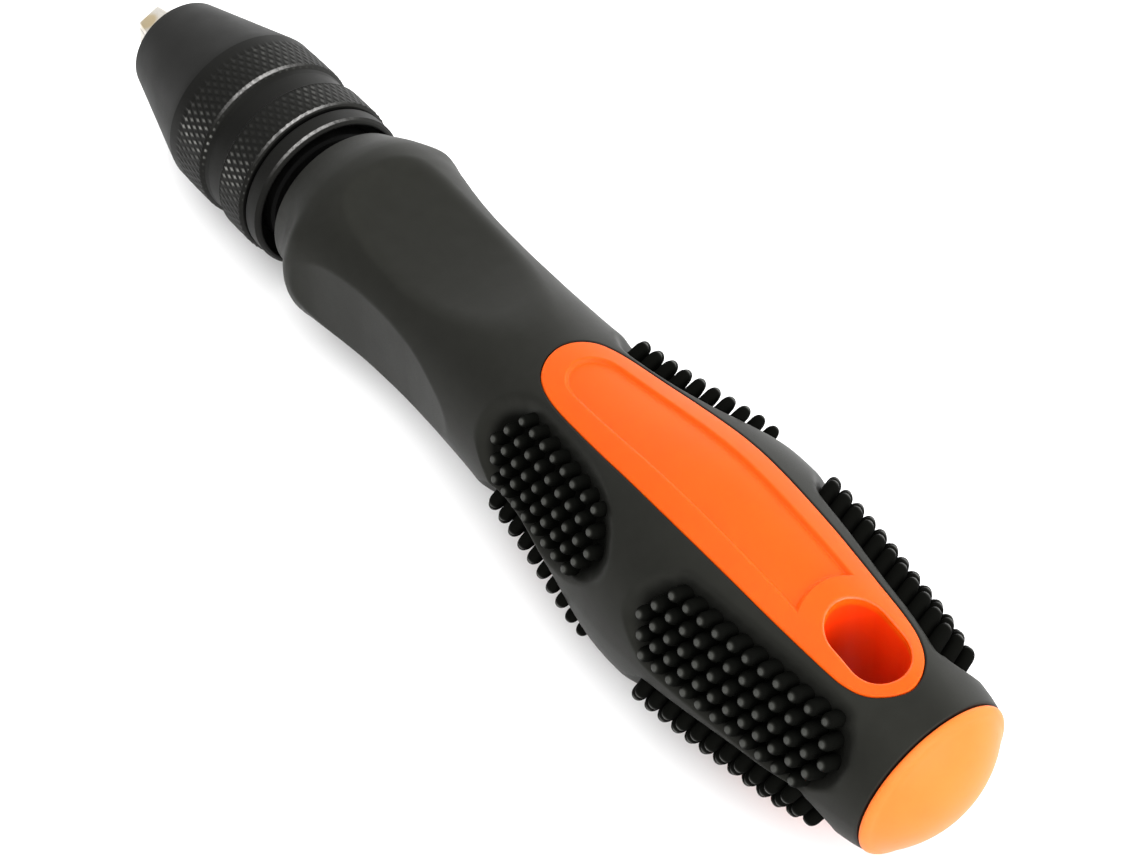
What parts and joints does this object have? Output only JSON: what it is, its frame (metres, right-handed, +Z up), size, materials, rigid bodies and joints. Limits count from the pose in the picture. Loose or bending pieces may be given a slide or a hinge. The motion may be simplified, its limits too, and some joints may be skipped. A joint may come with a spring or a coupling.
{
  "type": "hand drill",
  "caption": "Straight hand drill with a keyless three-jaw chuck, a waisted rubber grip with nub pads, orange side panels, a hang hole and a domed end cap.",
  "frame": {"origin": "middle of the tool's length on its axis", "axes": "+X along the tool towards the jaws, +Z up out of the orange panel on the tool's top side, +Y to the side; +Z up"},
  "size_m": [0.1924, 0.04, 0.0366],
  "materials": {
    "black_steel": "satin black oxide on turned and knurled steel",
    "jaw_steel": "warm bright ground steel",
    "nut_steel": "machined, lightly oiled",
    "bearing_steel": "polished",
    "cage_brass": "stamped sheet",
    "spindle_steel": "dark oiled steel",
    "core_plastic": "orange moulded plastic, soft satin",
    "grip_rubber": "matt black moulded rubber with a soft sheen",
    "cap_plastic": "orange moulded plastic, smooth satin"
  },
  "bodies": {
    "handle": {"grip_sleeve": "grip_rubber", "handle_core": "core_plastic", "end_cap": "cap_plastic", "spindle": "spindle_steel", "chuck_body": "black_steel", "rear_ring": "black_steel", "thrust_race": "bearing_steel"},
    "sleeve": {"outer_sleeve": "black_steel", "nut_half_a": "nut_steel", "nut_half_b": "nut_steel", "nut_collar": "nut_steel"},
    "jaw_body_1": {"jaw_1": "jaw_steel"},
    "jaw_body_2": {"jaw_2": "jaw_steel"},
    "jaw_body_3": {"jaw_3": "jaw_steel"},
    "bearing": {"ball_cage": "cage_brass", "ball_01": "bearing_steel", "ball_02": "bearing_steel", "ball_03": "bearing_steel", "ball_04": "bearing_steel", "ball_05": "bearing_steel", "ball_06": "bearing_steel", "ball_07": "bearing_steel", "ball_08": "bearing_steel", "ball_09": "bearing_steel", "ball_10": "bearing_steel"}
  },
  "joints": [
    {"name": "sleeve_spin", "type": "hinge", "parent": "handle", "child": "sleeve", "pos_m": [0.06767, 0, 0], "axis": [1, 0, 0], "range_deg": [0, 2879]},
    {"name": "jaw_1_slide", "type": "slide", "parent": "handle", "child": "jaw_body_1", "axis": [-0.9659, 0.036, 0.2563], "range_m": [0, 0.01243]},
    {"name": "jaw_2_slide", "type": "slide", "parent": "handle", "child": "jaw_body_2", "axis": [-0.9659, 0.204, -0.1593], "range_m": [0, 0.01243]},
    {"name": "jaw_3_slide", "type": "slide", "parent": "handle", "child": "jaw_body_3", "axis": [-0.9659, -0.24, -0.097], "range_m": [0, 0.01243]},
    {"name": "cage_spin", "type": "hinge", "parent": "handle", "child": "bearing", "pos_m": [0.06907, 0, 0], "axis": [1, 0, 0], "range_deg": [0, 1440.5]}
  ],
  "couplings": [
    {"joint": "jaw_1_slide", "follows": "sleeve_spin", "m_per_rad": 0.00024715},
    {"joint": "jaw_2_slide", "follows": "sleeve_spin", "m_per_rad": 0.00024715},
    {"joint": "jaw_3_slide", "follows": "sleeve_spin", "m_per_rad": 0.00024715},
    {"joint": "cage_spin", "follows": "sleeve_spin", "ratio": 0.5}
  ]
}
